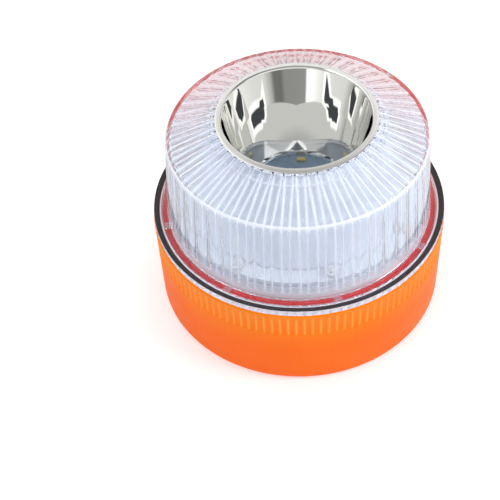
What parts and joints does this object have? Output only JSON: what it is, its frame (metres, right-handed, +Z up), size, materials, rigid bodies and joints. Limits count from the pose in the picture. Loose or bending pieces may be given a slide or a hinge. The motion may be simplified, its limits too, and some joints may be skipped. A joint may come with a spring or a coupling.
{
  "type": "led hazard beacon",
  "caption": "Round magnetic road flare: ribbed orange base with a side push button, twist-on clear fluted dome with amber LEDs, and an open chromed torch bowl in the middle of its top.",
  "frame": {"origin": "centre of the rubber foot's underside", "axes": "+Z up along the beacon's axis, +Y towards the push button, +X to the right when the button is at the back"},
  "size_m": [0.1, 0.1, 0.075],
  "materials": {
    "orange_plastic": "fine-textured orange ABS",
    "clear_lens": "clear polycarbonate, fluted inside",
    "red_plastic": "translucent red plastic",
    "black_rubber": "matt black rubber",
    "black_plastic": "matt black plastic",
    "white_plastic": "satin white plastic",
    "circuit_board": "white solder mask",
    "amber_led": "amber LED lens",
    "torch_led": "yellow phosphor in a white package",
    "chrome": "vacuum-metallised plastic",
    "bright_steel": "nickel-plated steel",
    "gilt_brass": "gilt contact brass",
    "cell_can": "plain dark blue sleeve on a metal can",
    "lead_insulation_red": "red PVC",
    "lead_insulation_black": "black PVC"
  },
  "bodies": {
    "base": {"base_housing": "orange_plastic", "foot_pad": "black_rubber", "roof_magnet_1": "bright_steel", "roof_magnet_2": "bright_steel", "roof_magnet_3": "bright_steel", "roof_magnet_4": "bright_steel", "battery_tray": "black_plastic", "aaa_cell_1": "cell_can", "cell_spring_1": "bright_steel", "cell_plate_1": "bright_steel", "aaa_cell_2": "cell_can", "cell_spring_2": "bright_steel", "cell_plate_2": "bright_steel", "aaa_cell_3": "cell_can", "cell_spring_3": "bright_steel", "cell_plate_3": "bright_steel", "tray_screw_left": "bright_steel", "tray_screw_right": "bright_steel", "supply_pin_positive": "gilt_brass", "supply_pin_negative": "gilt_brass", "switch_board": "circuit_board", "switch_body": "black_plastic", "switch_lead_red": "lead_insulation_red", "switch_lead_black": "lead_insulation_black"},
    "button": {"power_button": "black_rubber", "switch_plunger": "white_plastic"},
    "head": {"lens_dome": "clear_lens", "red_marker_ring": "red_plastic", "edge_gasket": "black_rubber", "chassis": "white_plastic", "body_seal": "black_rubber", "main_board": "circuit_board", "amber_led_1": "amber_led", "amber_led_2": "amber_led", "amber_led_3": "amber_led", "amber_led_4": "amber_led", "amber_led_5": "amber_led", "amber_led_6": "amber_led", "amber_led_7": "amber_led", "amber_led_8": "amber_led", "torch_led_1": "torch_led", "torch_led_2": "torch_led", "torch_led_3": "torch_led", "torch_window": "clear_lens", "torch_reflector": "chrome", "light_cone": "white_plastic", "driver_chip": "black_plastic", "driver_coil": "black_plastic", "ring_lead_red": "lead_insulation_red", "ring_lead_black": "lead_insulation_black", "storage_capacitor": "cell_can", "head_cover": "black_plastic", "contact_ring_positive": "gilt_brass", "contact_ring_negative": "gilt_brass", "cover_screw_1": "bright_steel", "cover_screw_2": "bright_steel", "cover_screw_3": "bright_steel"}
  },
  "joints": [
    {"name": "button_press", "type": "slide", "parent": "base", "child": "button", "axis": [0, -1, 0], "range_m": [0, 0.001], "stiffness_N_per_m": 1500},
    {"name": "head_twist", "type": "hinge", "parent": "base", "child": "head", "pos_m": [0, 0, 0.03], "axis": [0, 0, 1], "range_deg": [0, 35]}
  ]
}
